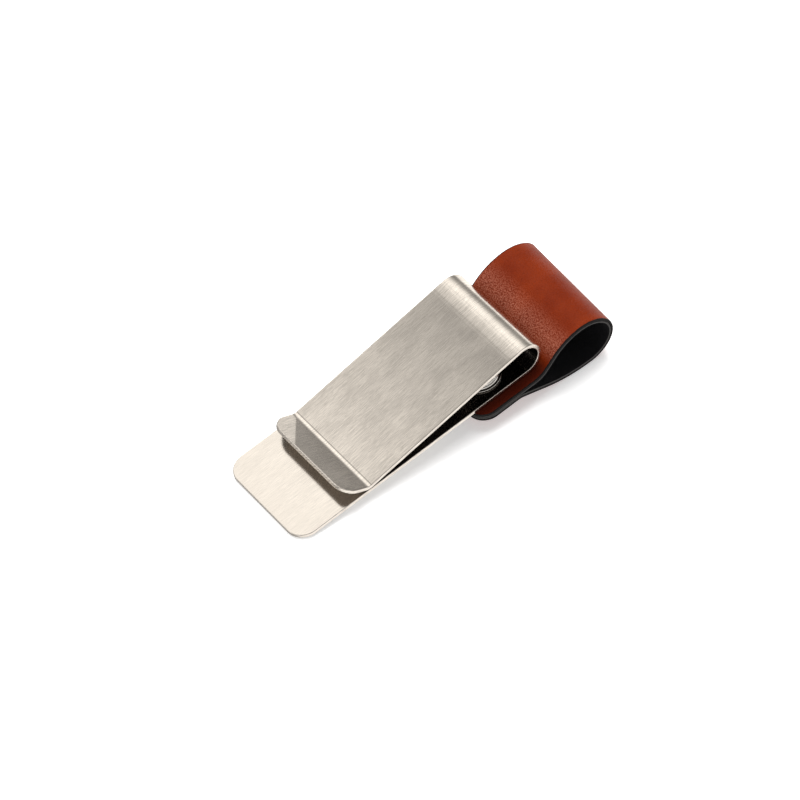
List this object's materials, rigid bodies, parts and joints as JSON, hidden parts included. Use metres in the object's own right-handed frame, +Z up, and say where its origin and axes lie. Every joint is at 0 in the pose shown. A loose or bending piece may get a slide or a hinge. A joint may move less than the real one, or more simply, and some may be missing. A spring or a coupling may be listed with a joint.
{
  "type": "pen loop clip",
  "caption": "Folded spring-steel page clip with a lipped upper leaf and a leather pen loop riveted under its lower leaf, resting on a table.",
  "frame": {"origin": "middle of the footprint, on the table the clip lies on", "axes": "+Y from the front edge of the lower leaf to the leather loop, +Z up, +X across the clip"},
  "size_m": [0.0218, 0.0638, 0.0111],
  "materials": {
    "brushed_sheet": "straight-line brushed along the length",
    "rivet_plating": "polished nickel plating",
    "brown_leather": "smooth finished leather with a fine grain, edges painted black",
    "black_lining": "matt black lining"
  },
  "bodies": {
    "clip_base": {"lower_leaf": "brushed_sheet", "spring_bend": "brushed_sheet", "rivet_cap_left": "rivet_plating", "rivet_cap_right": "rivet_plating", "rivet_post_left": "rivet_plating", "rivet_post_right": "rivet_plating", "strap_upper_end": "brown_leather", "strap_lower_end": "brown_leather", "lining_upper_end": "black_lining", "lining_lower_end": "black_lining"},
    "upper_jaw": {"upper_leaf": "brushed_sheet"},
    "pen_loop": {"loop_leather": "brown_leather", "loop_lining": "black_lining"}
  },
  "joints": [
    {"name": "jaw_open", "type": "hinge", "parent": "clip_base", "child": "upper_jaw", "pos_m": [-0.00093, 0.01439, 0.00785], "axis": [-1, 0, 0], "range_deg": [0, 12], "stiffness_Nm_per_rad": 0.5, "deforming": ["spring_bend"]},
    {"name": "loop_flex", "type": "hinge", "parent": "clip_base", "child": "pen_loop", "pos_m": [0.00042, 0.01439, 0.00785], "axis": [1, 0, 0], "range_deg": [0, 12], "stiffness_Nm_per_rad": 0.15}
  ]
}
